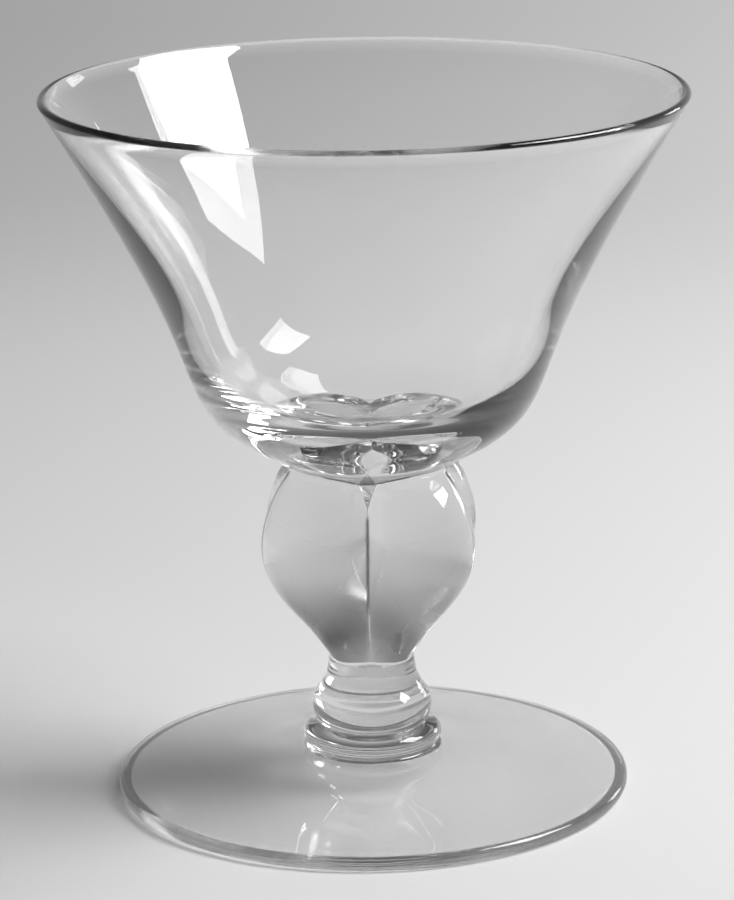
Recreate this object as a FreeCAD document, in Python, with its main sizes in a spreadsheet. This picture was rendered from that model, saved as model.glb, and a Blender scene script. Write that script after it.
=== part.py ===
import FreeCAD, Part
import os
import sys

import Sketcher

# Clear cocktail glass, worked by hand in one piece: a wide flared bowl on a knop of four
# solid lobes, a collar of a bell on a button, and a low conical foot with a hollow underside.
# Millimetres, +Z up, origin at the centre of the foot, level with its flat resting ring.

SIZES = (
    # Foot: a disc with a rounded edge, rising as a low cone to the collar.
    ("foot_diameter", 76.2),
    ("foot_edge_thickness", 2.2),
    ("foot_crown", 0.35),
    ("foot_height", 6.4),
    ("foot_hub_radius", 9.0),
    # Hollow of the underside, inside the flat resting ring: control points of its curve, the
    # outer ones placed by how far they are in from the ring.
    ("rest_ring_width", 1.0),
    ("hollow_brink_width", 1.5),
    ("hollow_brink_rise", 0.15),
    ("hollow_slope_width", 14.0),
    ("hollow_slope_rise", 1.6),
    ("hollow_crown_radius", 10.0),
    ("hollow_crown_rise", 3.6),
    # Collar: a button with a groove over it, then a bell whose control points are a radius
    # and a rise over the groove.
    ("button_height", 3.4),
    ("button_radius", 10.3),
    ("button_roundness", 0.12),
    ("groove_radius", 8.05),
    ("bell_height", 10.1),
    ("bell_foot_radius", 8.9),
    ("bell_foot_rise", 1.1),
    ("bell_belly_radius", 9.02),
    ("bell_belly_rise", 3.75),
    ("bell_shoulder_radius", 7.8),
    ("bell_shoulder_rise", 5.2),
    ("bell_waist_radius", 6.6),
    ("bell_waist_rise", 7.2),
    ("bell_throat_radius", 6.4),
    ("bell_throat_rise", 9.2),
    ("neck_radius", 6.3),
    # Knop: four pear-shaped lobes round a tapered core. Each section of a lobe is a circle,
    # with its rise over the collar or its drop under the bowl, the offset of its centre and
    # its radius.
    ("knop_height", 28.6),
    ("lobe_count", 4),
    ("lobe_azimuth", 45),
    ("root_depth", 1.4),
    ("root_offset", 0.7),
    ("root_radius", 4.6),
    ("flank_rise", 5.1),
    ("flank_offset", 3.9),
    ("flank_radius", 6.26),
    ("waist_rise", 11.3),
    ("waist_offset", 8.1),
    ("waist_radius", 7.58),
    ("belly_drop", 10.3),
    ("belly_offset", 10.8),
    ("belly_radius", 7.94),
    ("shoulder_drop", 4.6),
    ("shoulder_offset", 10.25),
    ("shoulder_radius", 7.42),
    ("crown_drop", 1.3),
    ("crown_offset", 9.05),
    ("crown_radius", 6.18),
    ("lobe_embed", 1.6),
    ("tip_offset", 6.85),
    ("tip_radius", 4.2),
    ("core_root_radius", 4.9),
    ("core_top_radius", 9.9),
    # Bowl: outside and inside are smooth curves, given by their control points over the knop.
    ("bowl_height", 56.3),
    ("rim_diameter", 93.4),
    ("lip_thickness", 1.2),
    ("lip_angle", 31),
    ("lip_run", 14.0),
    ("underside_radius", 16.3),
    ("underside_rise", 3.5),
    ("cheek_radius", 25.0),
    ("cheek_rise", 7.95),
    ("wall_radius", 27.5),
    ("wall_rise", 22.25),
    ("floor_thickness", 8.0),
    ("floor_radius", 4.0),
    ("floor_brink_radius", 12.2),
    ("floor_brink_step", 0.5),
    ("cheek_wall", 2.5),
    ("cheek_step", 3.1),
    ("side_wall", 2.4),
    ("side_step", 1.65),
)

FOOT_TOP = "dims.foot_height"
BUTTON_TOP = FOOT_TOP + " + dims.button_height"
COLLAR_TOP = BUTTON_TOP + " + dims.bell_height"
KNOP_TOP = COLLAR_TOP + " + dims.knop_height"
RIM_TOP = KNOP_TOP + " + dims.bowl_height"

doc = FreeCAD.newDocument("cocktail_glass")


def write_sizes():
    """The driving sizes, one row each, with the name beside the number."""
    sheet = doc.addObject("Spreadsheet::Sheet", "dims")
    for row, (name, size) in enumerate(SIZES, start=1):
        sheet.set(f"A{row}", name)
        sheet.set(f"B{row}", str(size))
        sheet.setAlias(f"B{row}", name)
    doc.recompute()
    return sheet


def origin_feature(body, role):
    """A plane or axis of the body's own origin."""
    return next(f for f in body.Origin.OriginFeatures if f.Role == role)


class Outline:
    """A closed half-section on the XZ plane. A point is a pair: radius and height."""

    def __init__(self, body, name):
        self.sketch = body.newObject("Sketcher::SketchObject", name)
        self.sketch.AttachmentSupport = [(origin_feature(body, "XZ_Plane"), "")]
        self.sketch.MapMode = "FlatFace"
        self.edges = []

    def at(self, point):
        radius, height = (float(self.sketch.evalExpression(e)) for e in point)
        return FreeCAD.Vector(radius, height, 0)

    def pin(self, geometry, end, point):
        """Binds one point of the sketch to its radius and height."""
        place = self.at(point)
        for kind, axis, size, value in (
            ("DistanceX", -2, point[0], place.x),
            ("DistanceY", -1, point[1], place.y),
        ):
            if size == "0":
                self.sketch.addConstraint(
                    Sketcher.Constraint("PointOnObject", geometry, end, axis)
                )
                continue
            index = self.sketch.addConstraint(
                Sketcher.Constraint(kind, -1, 1, geometry, end, value)
            )
            self.sketch.setExpression(f"Constraints[{index}]", size)

    def line(self, start, end):
        edge = self.sketch.addGeometry(Part.LineSegment(self.at(start), self.at(end)))
        self.edges.append(edge)
        self.pin(edge, 1, start)

    def curve(self, *points):
        """A smooth cubic that starts and ends on its first and last control points."""
        spline = Part.BSplineCurve()
        degree = 3
        spans = len(points) - degree
        knots = [float(k) for k in range(spans + 1)]
        ends = [degree + 1]
        spline.buildFromPolesMultsKnots(
            [self.at(p) for p in points],
            ends + [1] * (spans - 1) + ends,
            knots,
            False,
            degree,
        )
        edge = self.sketch.addGeometry(spline)
        self.edges.append(edge)
        first_pole = edge + 1
        self.sketch.exposeInternalGeometry(edge)
        for place, point in enumerate(points[:-1]):
            self.pin(first_pole + place, 3, point)

    def close(self):
        following = self.edges[1:] + self.edges[:1]
        for edge, after in zip(self.edges, following):
            self.sketch.addConstraint(Sketcher.Constraint("Coincident", edge, 2, after, 1))
        return self.sketch


def turned(body, name, outline):
    """The solid that the half-section makes when it is turned about the glass's axis."""
    revolution = body.newObject("PartDesign::Revolution", name)
    revolution.Profile = outline.close()
    revolution.ReferenceAxis = (revolution.Profile[0], ["V_Axis"])
    revolution.Angle = 360
    revolution.Refine = False
    return revolution


def make_foot(body):
    """A low cone with a hollow underside, a flat resting ring and a fully rounded edge."""
    edge_middle = "dims.foot_diameter / 2 - dims.foot_edge_thickness / 2"
    edge_bulge = "dims.foot_diameter / 2 + dims.foot_edge_thickness / 6"
    slope_middle = "(dims.foot_diameter / 2 + dims.foot_hub_radius) / 2"
    slope_crown = "(dims.foot_edge_thickness + dims.foot_height) / 2 + dims.foot_crown"
    hollow_middle = ("0", "dims.hollow_crown_rise")
    hollow_radius = f"{edge_middle} - dims.rest_ring_width"
    hollow_edge = (hollow_radius, "0")
    outline = Outline(body, "foot_outline")
    outline.curve(
        hollow_middle,
        ("dims.hollow_crown_radius", "dims.hollow_crown_rise"),
        (f"{hollow_radius} - dims.hollow_slope_width", "dims.hollow_slope_rise"),
        (f"{hollow_radius} - dims.hollow_brink_width", "dims.hollow_brink_rise"),
        hollow_edge,
    )
    outline.line(hollow_edge, (edge_middle, "0"))
    outline.curve(
        (edge_middle, "0"),
        (edge_bulge, "0"),
        (edge_bulge, "dims.foot_edge_thickness"),
        (edge_middle, "dims.foot_edge_thickness"),
    )
    outline.curve(
        (edge_middle, "dims.foot_edge_thickness"),
        (slope_middle, slope_crown),
        (slope_middle, slope_crown),
        ("dims.foot_hub_radius", FOOT_TOP),
    )
    outline.line(("dims.foot_hub_radius", FOOT_TOP), ("0", FOOT_TOP))
    outline.line(("0", FOOT_TOP), hollow_middle)
    return turned(body, "foot", outline)


def make_collar(body):
    """A button and, over its groove, a bell that narrows to the neck."""
    outline = Outline(body, "collar_outline")
    button_foot = ("dims.foot_hub_radius", FOOT_TOP)
    groove = ("dims.groove_radius", BUTTON_TOP)
    neck = ("dims.neck_radius", COLLAR_TOP)
    button_pole = "(8 * dims.button_radius - dims.foot_hub_radius - dims.groove_radius) / 6"
    outline.line(("0", FOOT_TOP), button_foot)
    outline.curve(
        button_foot,
        (button_pole, f"{FOOT_TOP} + dims.button_height * dims.button_roundness"),
        (button_pole, f"{BUTTON_TOP} - dims.button_height * dims.button_roundness"),
        groove,
    )
    bell = [
        (f"dims.bell_{part}_radius", f"{BUTTON_TOP} + dims.bell_{part}_rise")
        for part in ("foot", "belly", "shoulder", "waist", "throat")
    ]
    outline.curve(groove, *bell, neck)
    outline.line(neck, ("0", COLLAR_TOP))
    outline.line(("0", COLLAR_TOP), ("0", FOOT_TOP))
    return turned(body, "collar", outline)


def make_core(body):
    """The tapered core that the lobes wrap, filling the space between their crowns."""
    outline = Outline(body, "core_outline")
    root = COLLAR_TOP + " - dims.root_depth"
    outline.line(("0", root), ("dims.core_root_radius", root))
    outline.line(("dims.core_root_radius", root), ("dims.core_top_radius", KNOP_TOP))
    outline.line(("dims.core_top_radius", KNOP_TOP), ("0", KNOP_TOP))
    outline.line(("0", KNOP_TOP), ("0", root))
    return turned(body, "core", outline)


def lobe_section(body, name, height, offset, radius):
    """One level circle of a lobe, its centre set out from the axis along the lobe's azimuth."""
    sketch = body.newObject("Sketcher::SketchObject", name)
    sketch.AttachmentSupport = [(origin_feature(body, "XY_Plane"), "")]
    sketch.MapMode = "FlatFace"
    sketch.AttachmentOffset = FreeCAD.Placement(
        FreeCAD.Vector(0, 0, 1), FreeCAD.Rotation(FreeCAD.Vector(0, 0, 1), 1)
    )
    sketch.setExpression("AttachmentOffset.Base.z", height)
    sketch.setExpression("AttachmentOffset.Rotation.Angle", "dims.lobe_azimuth")
    centre = FreeCAD.Vector(float(sketch.evalExpression(offset)), 0, 0)
    circle = Part.Circle(
        centre, FreeCAD.Vector(0, 0, 1), float(sketch.evalExpression(radius))
    )
    sketch.addGeometry(circle)
    sketch.addConstraint(Sketcher.Constraint("PointOnObject", 0, 3, -1))
    index = sketch.addConstraint(
        Sketcher.Constraint("DistanceX", -1, 1, 0, 3, circle.Center.x)
    )
    sketch.setExpression(f"Constraints[{index}]", offset)
    index = sketch.addConstraint(Sketcher.Constraint("Radius", 0, circle.Radius))
    sketch.setExpression(f"Constraints[{index}]", radius)
    return sketch


def make_lobes(body):
    """The knop: one lobe lofted through its sections, then repeated round the axis."""
    levels = (
        ("root", COLLAR_TOP + " - dims.root_depth"),
        ("flank", COLLAR_TOP + " + dims.flank_rise"),
        ("waist", COLLAR_TOP + " + dims.waist_rise"),
        ("belly", KNOP_TOP + " - dims.belly_drop"),
        ("shoulder", KNOP_TOP + " - dims.shoulder_drop"),
        ("crown", KNOP_TOP + " - dims.crown_drop"),
        ("tip", KNOP_TOP + " + dims.lobe_embed"),
    )
    sections = [
        lobe_section(
            body, f"lobe_{name}", height, f"dims.{name}_offset", f"dims.{name}_radius"
        )
        for name, height in levels
    ]
    lobe = body.newObject("PartDesign::AdditiveLoft", "lobe")
    lobe.Profile = sections[0]
    lobe.Sections = sections[1:]
    lobe.Ruled = False
    lobe.Refine = False
    doc.recompute()
    lobes = body.newObject("PartDesign::PolarPattern", "lobes")
    lobes.Originals = [lobe]
    lobes.Axis = (origin_feature(body, "Z_Axis"), [""])
    lobes.Angle = 360
    lobes.setExpression("Occurrences", "dims.lobe_count")
    lobes.Refine = False
    body.Tip = lobes
    return lobes


def make_bowl(body):
    """The flared bowl: outside curve, rounded lip and inside curve in one section."""
    lip_half = "dims.lip_thickness / 2"
    across = f"{lip_half} * cos(dims.lip_angle * 1 deg)"
    aslant = f"{lip_half} * sin(dims.lip_angle * 1 deg)"
    along = "dims.lip_run * sin(dims.lip_angle * 1 deg)"
    down = "dims.lip_run * cos(dims.lip_angle * 1 deg)"
    lip_radius = f"dims.rim_diameter / 2 - {lip_half}"
    lip_height = f"{RIM_TOP} - {lip_half}"
    outer_end = (f"{lip_radius} + {across}", f"{lip_height} - {aslant}")
    inner_end = (f"{lip_radius} - {across}", f"{lip_height} + {aslant}")
    over = "dims.lip_thickness * 2 / 3"
    base = ("dims.core_top_radius", KNOP_TOP)
    floor = KNOP_TOP + " + dims.floor_thickness"
    outer_lead = (f"{outer_end[0]} - {along}", f"{outer_end[1]} - {down}")
    inner_lead = (f"{inner_end[0]} - {along}", f"{inner_end[1]} - {down}")
    lip_rise = f"{over} * cos(dims.lip_angle * 1 deg)"
    lip_reach = f"{over} * sin(dims.lip_angle * 1 deg)"
    outline = Outline(body, "bowl_outline")
    outline.line(("0", KNOP_TOP), base)
    outline.curve(
        base,
        ("dims.underside_radius", KNOP_TOP + " + dims.underside_rise"),
        ("dims.cheek_radius", KNOP_TOP + " + dims.cheek_rise"),
        ("dims.wall_radius", KNOP_TOP + " + dims.wall_rise"),
        outer_lead,
        outer_end,
    )
    outline.curve(
        outer_end,
        (f"{outer_end[0]} + {lip_reach}", f"{outer_end[1]} + {lip_rise}"),
        (f"{inner_end[0]} + {lip_reach}", f"{inner_end[1]} + {lip_rise}"),
        inner_end,
    )
    outline.curve(
        inner_end,
        inner_lead,
        (
            "dims.wall_radius - dims.side_wall",
            KNOP_TOP + " + dims.wall_rise + dims.side_step",
        ),
        ("dims.cheek_radius - dims.cheek_wall", floor + " + dims.cheek_step"),
        ("dims.floor_brink_radius", floor + " + dims.floor_brink_step"),
        ("dims.floor_radius", floor),
        ("0", floor),
    )
    outline.line(("0", floor), ("0", KNOP_TOP))
    return turned(body, "bowl", outline)


def stop_if_failed(body):
    """Nothing is written unless every feature and the finished solid are sound."""
    failed = [o.Name for o in doc.Objects if {"Invalid", "Error"} & set(o.State)]
    shape = body.Shape
    if failed or shape.isNull() or not shape.isValid() or len(shape.Solids) != 1:
        sys.exit(f"the glass is not one sound solid; failed features: {failed}")


write_sizes()
glass = doc.addObject("PartDesign::Body", "glass_body")
glass.Label = "cocktail_glass"
glass.Placement = FreeCAD.Placement()
make_foot(glass)
make_collar(glass)
make_core(glass)
make_lobes(glass)
make_bowl(glass)
doc.recompute()
stop_if_failed(glass)
os.makedirs("parts", exist_ok=True)
glass.Shape.exportStep(f"parts/{glass.Label}.step")
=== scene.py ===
import math

import bpy
import numpy as np
from mathutils import Matrix, Vector


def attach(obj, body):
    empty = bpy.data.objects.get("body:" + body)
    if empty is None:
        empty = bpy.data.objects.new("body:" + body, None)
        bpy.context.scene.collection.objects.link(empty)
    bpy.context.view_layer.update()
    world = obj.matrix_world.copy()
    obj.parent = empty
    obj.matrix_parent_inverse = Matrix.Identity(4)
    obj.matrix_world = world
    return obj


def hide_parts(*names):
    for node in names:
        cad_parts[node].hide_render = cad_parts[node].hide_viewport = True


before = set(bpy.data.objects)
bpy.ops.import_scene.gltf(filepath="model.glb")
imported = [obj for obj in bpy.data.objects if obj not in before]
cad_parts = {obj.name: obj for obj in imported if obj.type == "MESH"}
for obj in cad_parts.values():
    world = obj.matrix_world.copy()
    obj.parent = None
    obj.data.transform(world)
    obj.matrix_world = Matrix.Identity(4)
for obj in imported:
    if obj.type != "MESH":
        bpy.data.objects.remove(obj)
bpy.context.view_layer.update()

MM = 0.001

# The photograph's viewpoint, worked out from the ellipses of the rim and the foot.
IMAGE_WIDTH, IMAGE_HEIGHT = 734, 900
FOCAL_LENGTH_PX = 3817.0
SENSOR_MM = 36.0
CAMERA_BACK = 539.8 * MM
CAMERA_SIDE = -0.96 * MM
CAMERA_HEIGHT = 200.6 * MM
CAMERA_PITCH = 0.2699
CAMERA_ROLL = 0.0136
CAMERA_YAW = -0.0013
# The front crease of the knop stands a little to the left of the axis.
KNOP_TURN = math.radians(2.0)

# The glass, in millimetres. Every outline is a list of pairs: radius and height.
FOOT_RADIUS = 38.1
EDGE_THICKNESS = 2.2
FOOT_CROWN = 0.35
FOOT_TOP = 6.4
HUB_RADIUS = 9.0
HOLLOW = ((0, 3.6), (10, 3.6), (22, 1.6), (34.5, 0.15), (36, 0))
BUTTON_RADIUS = 10.3
BUTTON_TOP = 9.8
GROOVE_RADIUS = 8.05
BELL = ((8.9, 10.9), (9.02, 13.55), (7.8, 15.0), (6.6, 17.0), (6.4, 19.0))
COLLAR_TOP = 19.9
NECK_RADIUS = 6.3
CORE = ((COLLAR_TOP, 5.1), (34.0, 7.5), (43.0, 8.9), (48.9, 10.2))
# Each level circle of a lobe: its height, its centre's distance from the axis, its radius.
LOBE_SECTIONS = (
    (18.5, 0.7, 4.6),
    (25.0, 3.9, 6.26),
    (31.2, 8.1, 7.58),
    (38.2, 10.8, 7.94),
    (43.9, 10.25, 7.42),
    (47.2, 9.5, 6.5),
    (50.1, 8.0, 5.6),
)
LOBE_COUNT = 4
CREASE_SOFTNESS = 0.45
JOIN_SOFTNESS = 1.0
RIM_TOP = 104.8
RIM_RADIUS = 46.7
LIP_THICKNESS = 1.2
LIP_ANGLE = math.radians(31)
LIP_RUN = 14.0
BOWL_OUTSIDE = ((9.4, 48.5), (16.3, 52.0), (25.0, 56.45), (27.5, 70.75))
BOWL_INSIDE = ((25.1, 72.4), (22.6, 59.57), (12.3, 57.48), (0, 57.48))
# The floor's middle sinks a little.
DIMPLE_DEPTH = 0.76
DIMPLE_WIDTH = 6.0

# The glass as a material.
# Painted shade: a thin dark line darkens the glass's colour along each crease of the knop,
# between two heights.
BREADTH_OF_CREASE_SHADE = (0.1 * MM, 0.35 * MM)
CREASE_SHADE_FROM, CREASE_SHADE_TO = (28 * MM, 31 * MM), (43 * MM, 44.5 * MM)
CLEAR_TONE = 0.97
CREASE_SHADE_DEPTH = 0.87
GLASS_IOR = 1.52
GREYNESS = 5.0
# Inside the knop's lower half, light that leaves it nearly straight is scattered a little.
SCATTER_FROM, SCATTER_TO = (22 * MM, 25 * MM), (33 * MM, 37 * MM)
SCATTER_SLANT = (0.12, 0.24)
SCATTER_ROUGHNESS = 0.3
# The share of the light that the shadow lets through, and how much less of it by the knop.
SHADOW_LIGHT = 0.41
KNOP_SHADE = 0.2
KNOP_SHADE_FROM, KNOP_SHADE_TO = (8 * MM, 18 * MM), (44 * MM, 54 * MM)
SHADOW_TONE = 0.9

# The table, in metres from its middle.
TABLE_COLOUR = 0.745
TABLE_REACH = 3.0
TABLE_FADE = (0.25, 0.55)

# The backdrop's tone at each elevation, in degrees.
BACKDROP = (
    (-30, 0.70),
    (-16, 0.67),
    (-14.3, 0.63),
    (-12.5, 0.555),
    (-8.8, 0.475),
    (-6.5, 0.51),
    (-4, 0.545),
    (0, 0.56),
    (4, 0.55),
    (8, 0.485),
    (12, 0.435),
    (16, 0.375),
    (20, 0.315),
    (24, 0.265),
    (30, 0.22),
    (36, 0.185),
    (45, 0.10),
    (60, 0.12),
    (90, 0.16),
)
# How much of it is left towards each side, from the left (-1) to the right (1).
ACROSS = ((-1, 0.2), (-0.7, 0.22), (-0.5, 0.4), (-0.3, 0.8), (0, 1), (0.3, 1.15), (1, 1.2))
BRIGHTEST_SIDE = 2
ACROSS_STOPS = [((x + 1) / 2, y / BRIGHTEST_SIDE) for x, y in ACROSS]
# Towards the camera's side the room is darker, from the horizon up.
CAMERA_SIDE_SHADE = 0.85
CAMERA_SIDE_FADE = (-0.7, 0.2)
CAMERA_SIDE_RISE = (0.0, 0.07)
# Low down, the tone rises gently from left to right.
LOW_TILT, LOW_TILT_SHARPNESS = 0.62, 3.5
LOW_FADE = (-0.16, -0.05)
LAMP_AIM = 50 * MM
MOST_BOUNCES = 32


class Value:
    """A socket of a node tree, so that shader maths is written as an expression."""

    def __init__(self, tree, socket):
        self.tree = tree
        self.socket = socket

    def maths(self, operation, *operands):
        return self.tree.add("ShaderNodeMath", {"operation": operation}, *operands)

    def __add__(self, other):
        return self.maths("ADD", self, other)

    __radd__ = __add__

    def __sub__(self, other):
        return self.maths("SUBTRACT", self, other)

    def __rsub__(self, other):
        return self.maths("SUBTRACT", other, self)

    def __mul__(self, other):
        return self.maths("MULTIPLY", self, other)

    __rmul__ = __mul__

    def __truediv__(self, other):
        return self.maths("DIVIDE", self, other)

    def size(self):
        return self.maths("ABSOLUTE", self)

    def lesser(self, other):
        return self.maths("MINIMUM", self, other)

    def tanh(self):
        return self.maths("TANH", self)

    def exp(self):
        return self.maths("EXPONENT", self)

    def apart(self):
        """A vector's X, Y and Z."""
        return [self.tree.add("ShaderNodeSeparateXYZ", {}, self, output=a) for a in "XYZ"]

    def between(self, low, high):
        """0 up to low, 1 from high, and a smooth rise between them."""
        rise = {"interpolation_type": "SMOOTHSTEP", "clamp": True}
        return self.tree.add("ShaderNodeMapRange", rise, self, low, high, 0.0, 1.0)

    def within(self, rise, fall):
        """1 between a smooth rise and a smooth fall, each a pair of places."""
        return self.between(*rise) * (1 - self.between(*fall))


class NodeTree:
    """One material's or the world's nodes."""

    def __init__(self, owner):
        owner.use_nodes = True
        self.nodes = owner.node_tree.nodes
        self.links = owner.node_tree.links
        self.nodes.clear()

    def add(self, kind, settings=None, *values, output=0, **named):
        """Adds a node: its settings first, then sockets by order or by name."""
        node = self.nodes.new(kind)
        for name, setting in (settings or {}).items():
            if name == "stops":
                set_stops(node.color_ramp, setting)
            else:
                setattr(node, name, setting)
        sockets = [*enumerate(values), *((n.replace("_", " "), v) for n, v in named.items())]
        for key, value in sockets:
            socket = node.inputs[key]
            if isinstance(value, Value):
                self.links.new(value.socket, socket)
            else:
                socket.default_value = value
        return Value(self, node.outputs[output]) if node.outputs else None


def set_stops(ramp, stops):
    """Fills a colour ramp with grey stops, each a place and a level."""
    elements = ramp.elements
    while len(elements) < len(stops):
        elements.new(1.0)
    for element, (place, level) in zip(elements, stops):
        element.position = place
        element.color = grey(level)


def grey(level):
    return (level, level, level, 1.0)


def put_in_scene(name, data):
    placed = bpy.data.objects.new(name, data)
    bpy.context.scene.collection.objects.link(placed)
    return placed


def smooth_curve(poles, steps):
    """Points along the even cubic that starts on its first pole and ends on its last."""
    degree = 3
    spans = len(poles) - degree
    knots = [0.0] * degree + [float(k) for k in range(spans + 1)] + [float(spans)] * degree
    points = []
    for step in range(steps + 1):
        place = spans * step / steps
        span = min(int(place), spans - 1)
        near = [np.array(pole, float) for pole in poles[span : span + degree + 1]]
        for level in range(1, degree + 1):
            for i in range(degree, level - 1, -1):
                start = knots[span + i]
                share = (place - start) / (knots[span + i + degree + 1 - level] - start)
                near[i] = (1 - share) * near[i - 1] + share * near[i]
        points.append(near[degree])
    return np.array(points)


def bulge(start, end, reach, low, high, steps):
    """A rounded ring between two grooves, whose middle reaches the given radius."""
    pole = (8 * reach - start[0] - end[0]) / 6
    return smooth_curve((start, (pole, low), (pole, high), end), steps)


def through_sections(places, values, where):
    """The natural cubic through the sections' values."""
    places = np.array(places, float)
    values = np.array(values, float)
    gaps = np.diff(places)
    slopes = np.diff(values) / gaps
    count = len(places)
    matrix = np.eye(count)
    rates = np.zeros(count)
    for i in range(1, count - 1):
        matrix[i, i - 1 : i + 2] = gaps[i - 1], 2 * (gaps[i - 1] + gaps[i]), gaps[i]
        rates[i] = 6 * (slopes[i] - slopes[i - 1])
    bends = np.linalg.solve(matrix, rates)
    where = np.clip(where, places[0], places[-1])
    i = np.clip(np.searchsorted(places, where) - 1, 0, count - 2)
    along = where - places[i]
    gap, low, high = gaps[i], bends[i], bends[i + 1]
    return (
        values[i]
        + (slopes[i] - gap * (2 * low + high) / 6) * along
        + low / 2 * along**2
        + (high - low) / (6 * gap) * along**3
    )


def soft_greater(one, other, softness):
    """The greater of two radii, with a small fillet where they meet."""
    overlap = np.maximum(softness - np.abs(one - other), 0) / softness
    return np.maximum(one, other) + overlap * overlap * softness / 4


def azimuths_round():
    """Azimuths round the axis from the front, close together at the four creases."""
    quarter = math.tau / LOBE_COUNT
    first_step, growth, last_step = math.radians(0.22), 1.13, math.radians(2.1)
    away = [0.0]
    step = first_step
    while away[-1] < quarter / 2:
        away.append(away[-1] + step)
        step = min(step * growth, last_step)
    away = np.array(away) * quarter / 2 / away[-1]
    one_quarter = np.concatenate([-away[:0:-1], away[:-1]])
    return np.concatenate([one_quarter + k * quarter for k in range(LOBE_COUNT)])


def lobe_radius(azimuth, height):
    """How far the lobes reach from the axis at each azimuth and height."""
    levels, offsets, radii = zip(*LOBE_SECTIONS)
    offset = through_sections(levels, offsets, height)
    radius = through_sections(levels, radii, height)
    quarter = math.tau / LOBE_COUNT
    turn = np.abs(np.mod(azimuth, quarter) - quarter / 2)

    def reach(angle):
        inside = radius**2 - (offset * np.sin(angle)) ** 2
        far = offset * np.cos(angle) + np.sqrt(np.maximum(inside, 0))
        return np.where(inside > 0, far, 0.0)

    return soft_greater(reach(turn), reach(quarter - turn), CREASE_SOFTNESS)


def glass_rows():
    """The half-section from the underside's middle, out, up and in to the bowl's floor."""
    edge_middle = FOOT_RADIUS - EDGE_THICKNESS / 2
    edge_bulge = FOOT_RADIUS + EDGE_THICKNESS / 6
    slope_pole = (
        (FOOT_RADIUS + HUB_RADIUS) / 2,
        (EDGE_THICKNESS + FOOT_TOP) / 2 + FOOT_CROWN,
    )
    hub = (HUB_RADIUS, FOOT_TOP)
    groove = (GROOVE_RADIUS, BUTTON_TOP)
    neck = (NECK_RADIUS, COLLAR_TOP)
    button_height = BUTTON_TOP - FOOT_TOP
    half = LIP_THICKNESS / 2
    across, aslant = half * math.cos(LIP_ANGLE), half * math.sin(LIP_ANGLE)
    outer_end = (RIM_RADIUS - half + across, RIM_TOP - half - aslant)
    inner_end = (RIM_RADIUS - half - across, RIM_TOP - half + aslant)
    lead = (LIP_RUN * math.sin(LIP_ANGLE), LIP_RUN * math.cos(LIP_ANGLE))
    over = (4 / 3 * aslant, 4 / 3 * across)
    zones = {
        "hollow": smooth_curve(HOLLOW, 24)[1:],
        "rest": np.array([(edge_middle, 0.0)]),
        "edge": smooth_curve(
            (
                (edge_middle, 0),
                (edge_bulge, 0),
                (edge_bulge, EDGE_THICKNESS),
                (edge_middle, EDGE_THICKNESS),
            ),
            14,
        )[1:],
        "slope": smooth_curve(
            ((edge_middle, EDGE_THICKNESS), slope_pole, slope_pole, hub), 26
        )[1:],
        "button": bulge(
            hub,
            groove,
            BUTTON_RADIUS,
            FOOT_TOP + 0.12 * button_height,
            FOOT_TOP + 0.88 * button_height,
            20,
        )[1:],
        "bell": smooth_curve((groove, *BELL, neck), 44)[1:],
    }
    join_height, join_radius = CORE[-1]
    heights = np.linspace(COLLAR_TOP, join_height, 97)[1:]
    zones["knop"] = np.column_stack([through_sections(*zip(*CORE), heights), heights])
    outside = smooth_curve(
        (*BOWL_OUTSIDE, (outer_end[0] - lead[0], outer_end[1] - lead[1]), outer_end), 66
    )
    zones["outside"] = outside[outside[:, 0] > join_radius + 0.2]
    zones["lip"] = smooth_curve(
        (
            outer_end,
            (outer_end[0] + over[0], outer_end[1] + over[1]),
            (inner_end[0] + over[0], inner_end[1] + over[1]),
            inner_end,
        ),
        12,
    )[1:]
    inside = smooth_curve(
        (inner_end, (inner_end[0] - lead[0], inner_end[1] - lead[1]), *BOWL_INSIDE), 66
    )[1:-1]
    inside[:, 1] -= DIMPLE_DEPTH * np.exp(-((inside[:, 0] / DIMPLE_WIDTH) ** 2))
    zones["inside"] = inside
    return zones


def blown_glass():
    """The whole glass as one closed skin round its axis."""
    azimuths = azimuths_round()
    radius, height = [], []
    for zone, rows in glass_rows().items():
        r = np.repeat(rows[:, :1], len(azimuths), 1)
        z = np.repeat(rows[:, 1:], len(azimuths), 1)
        if zone in ("knop", "outside"):
            lobes = np.where(z < LOBE_SECTIONS[-1][0], lobe_radius(azimuths[None], z), 0)
            r = soft_greater(r, lobes, JOIN_SOFTNESS)
        radius.append(r)
        height.append(z)
    radius, height = np.vstack(radius), np.vstack(height)
    skin = np.stack(
        [radius * np.sin(azimuths), -radius * np.cos(azimuths), height], axis=-1
    )
    rows, columns = radius.shape
    floor_middle = (0, 0, BOWL_INSIDE[-1][1] - DIMPLE_DEPTH)
    points = [*skin.reshape(-1, 3).tolist(), (0, 0, HOLLOW[0][1]), floor_middle]
    under, over = len(points) - 2, len(points) - 1
    last = (rows - 1) * columns
    faces = []
    for j in range(columns):
        k = (j + 1) % columns
        faces.append((under, k, j))
        faces.append((over, last + j, last + k))
        for start in range(0, last, columns):
            faces.append((start + j, start + k, start + columns + k, start + columns + j))
    mesh = bpy.data.meshes.new("glass_skin")
    mesh.from_pydata([tuple(c * MM for c in p) for p in points], [], faces)
    mesh.polygons.foreach_set("use_smooth", [True] * len(faces))
    return put_in_scene("glass_skin", mesh)


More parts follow.
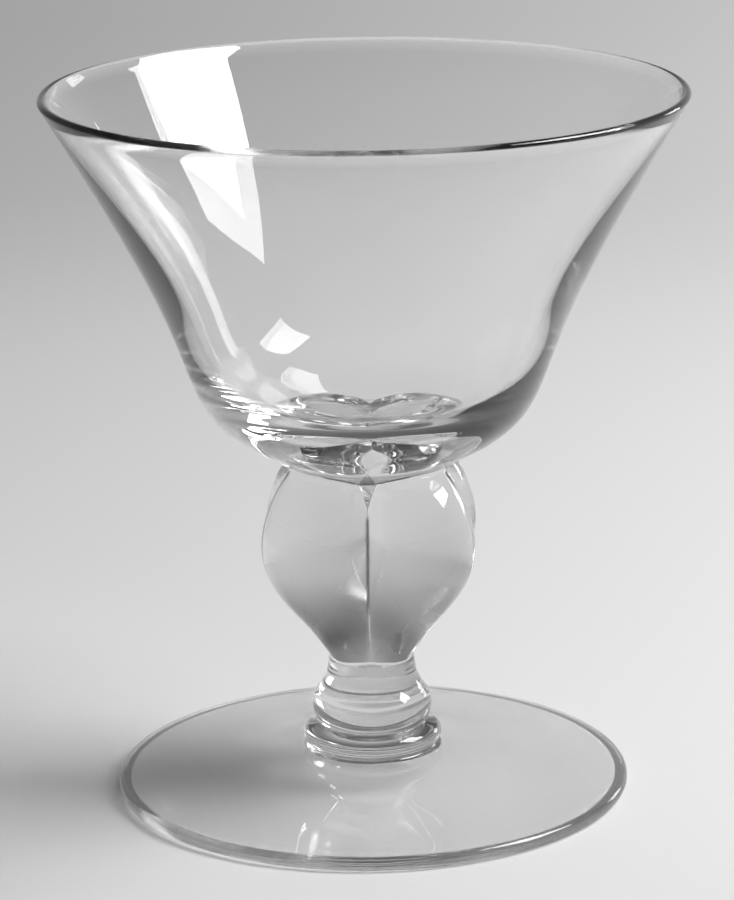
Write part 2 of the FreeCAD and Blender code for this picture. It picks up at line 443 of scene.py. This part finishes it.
def place_camera():
    """A level camera turned by yaw, pitch and roll, then set round the knop's turn."""
    sideways = Vector((math.cos(CAMERA_YAW), math.sin(CAMERA_YAW), 0))
    level = Vector((-math.sin(CAMERA_YAW), math.cos(CAMERA_YAW), 0))
    upright = Vector((0, 0, 1))
    forward = level * math.cos(CAMERA_PITCH) - upright * math.sin(CAMERA_PITCH)
    over = level * math.sin(CAMERA_PITCH) + upright * math.cos(CAMERA_PITCH)
    right = sideways * math.cos(CAMERA_ROLL) - over * math.sin(CAMERA_ROLL)
    up = sideways * math.sin(CAMERA_ROLL) + over * math.cos(CAMERA_ROLL)
    axes = Matrix((right, up, -forward)).transposed().to_4x4()
    spot = Matrix.Translation((CAMERA_SIDE, -CAMERA_BACK, CAMERA_HEIGHT))
    data = bpy.data.cameras.new("camera")
    data.sensor_width = SENSOR_MM
    data.lens = FOCAL_LENGTH_PX * SENSOR_MM / max(IMAGE_WIDTH, IMAGE_HEIGHT)
    camera = put_in_scene("camera", data)
    camera.matrix_world = Matrix.Rotation(KNOP_TURN, 4, "Z") @ spot @ axes
    bpy.context.scene.camera = camera


def clear_glass():
    """Clear glass, a little grey where it is thick, with a thin line of painted shade down
    each crease.
    """
    material = bpy.data.materials.new("clear_glass")
    tree = NodeTree(material)
    place = tree.add("ShaderNodeNewGeometry", output="Position")
    across, depth, height = place.apart()
    off_crease = across.size().lesser(depth.size())
    in_crease = 1 - off_crease.between(*BREADTH_OF_CREASE_SHADE)
    # Painted shade: the glass's colour is darkened in a thin line along each crease of the
    # knop.
    painted_crease_shade = in_crease * height.within(CREASE_SHADE_FROM, CREASE_SHADE_TO)
    from_inside = tree.add("ShaderNodeNewGeometry", output="Backfacing")
    slant = tree.add("ShaderNodeLayerWeight", output="Facing")
    straight_out = from_inside * (1 - slant.between(*SCATTER_SLANT))
    scatter = straight_out * height.within(SCATTER_FROM, SCATTER_TO)
    glass = tree.add(
        "ShaderNodeBsdfPrincipled",
        Base_Color=CLEAR_TONE - painted_crease_shade * CREASE_SHADE_DEPTH,
        Roughness=scatter * SCATTER_ROUGHNESS,
        IOR=GLASS_IOR,
        Transmission_Weight=1.0,
    )
    shadow = tree.add("ShaderNodeLightPath", output="Is Shadow Ray")
    by_the_knop = height.within(KNOP_SHADE_FROM, KNOP_SHADE_TO)
    let_through = SHADOW_LIGHT - by_the_knop * KNOP_SHADE
    clear = tree.add("ShaderNodeBsdfTransparent", Color=grey(SHADOW_TONE))
    mixed = tree.add("ShaderNodeMixShader", {}, shadow * let_through, glass, clear)
    tint = tree.add("ShaderNodeVolumeAbsorption", Color=grey(0.0), Density=GREYNESS)
    tree.add("ShaderNodeOutputMaterial", {}, mixed, tint)
    return material


def pale_table():
    """A wide pale table top that fades into the room far from the glass."""
    mesh = bpy.data.meshes.new("table")
    signs = ((-1, -1), (1, -1), (1, 1), (-1, 1))
    corners = [(x * TABLE_REACH, y * TABLE_REACH, 0) for x, y in signs]
    mesh.from_pydata(corners, [], [(0, 1, 2, 3)])
    table = put_in_scene("table", mesh)
    material = bpy.data.materials.new("pale_table")
    tree = NodeTree(material)
    place = tree.add("ShaderNodeNewGeometry", output="Position")
    distance = tree.add(
        "ShaderNodeVectorMath", {"operation": "LENGTH"}, place, output="Value"
    )
    surface = tree.add("ShaderNodeBsdfDiffuse", Color=grey(TABLE_COLOUR))
    room = tree.add("ShaderNodeBsdfTransparent", Color=grey(1.0))
    mixed = tree.add(
        "ShaderNodeMixShader", {}, distance.between(*TABLE_FADE), surface, room
    )
    tree.add("ShaderNodeOutputMaterial", {}, mixed)
    table.data.materials.append(material)


def light_panel(name, azimuth, elevation, distance, width, height, radiance):
    """A flat soft light that faces the knop. Azimuth 0 is the camera's side, 90 its right."""
    turn = math.radians(azimuth) + KNOP_TURN
    rise = math.radians(elevation)
    away = Vector(
        (
            math.sin(turn) * math.cos(rise),
            -math.cos(turn) * math.cos(rise),
            math.sin(rise),
        )
    )
    data = bpy.data.lights.new(name, "AREA")
    data.shape = "RECTANGLE"
    data.size = width
    data.size_y = height
    data.energy = radiance * math.pi * width * height
    lamp = put_in_scene(name, data)
    lamp.location = away * distance + Vector((0, 0, LAMP_AIM))
    lamp.rotation_mode = "QUATERNION"
    lamp.rotation_quaternion = away.to_track_quat("Z", "Y")


def studio_world():
    """A pale backdrop that darkens upwards into a dim ceiling, bright to the right."""
    lowest = 0.6
    world = bpy.data.worlds.new("studio")
    bpy.context.scene.world = world
    tree = NodeTree(world)
    direction = tree.add("ShaderNodeTexCoord", output="Generated")
    right, away, height = direction.apart()
    stops = [
        ((math.sin(math.radians(rise)) + lowest) / (1 + lowest), tone)
        for rise, tone in BACKDROP
    ]
    place = (height + lowest) / (1 + lowest)
    level = tree.add("ShaderNodeValToRGB", {"stops": stops}, place)
    towards_camera = (1 - away.between(*CAMERA_SIDE_FADE)) * height.between(*CAMERA_SIDE_RISE)
    room = 1 - towards_camera * CAMERA_SIDE_SHADE
    high = tree.add("ShaderNodeValToRGB", {"stops": ACROSS_STOPS}, (right + 1) * 0.5)
    high = tree.add("ShaderNodeSeparateXYZ", {}, high, output="X") * BRIGHTEST_SIDE
    low = ((right * LOW_TILT_SHARPNESS).tanh() * LOW_TILT).exp()
    side = low + (high - low) * height.between(*LOW_FADE)
    shade = tree.add("ShaderNodeBackground", Color=level, Strength=room * side)
    tree.add("ShaderNodeOutputWorld", {}, shade)


place_camera()
glass = blown_glass()
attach(glass, "root")
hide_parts("cocktail_glass")
glass.data.materials.append(clear_glass())
pale_table()
studio_world()
light_panel("window", 91, 44, 0.8, 0.42, 0.41, 16)
light_panel("side_window", 134, 8, 1.3, 0.27, 0.34, 5)
bpy.context.scene.view_settings.view_transform = "Standard"
# Light runs a long way inside the walls and the knop before it leaves them.
cycles = bpy.context.scene.cycles
cycles.max_bounces = MOST_BOUNCES
cycles.glossy_bounces = MOST_BOUNCES
cycles.transmission_bounces = MOST_BOUNCES
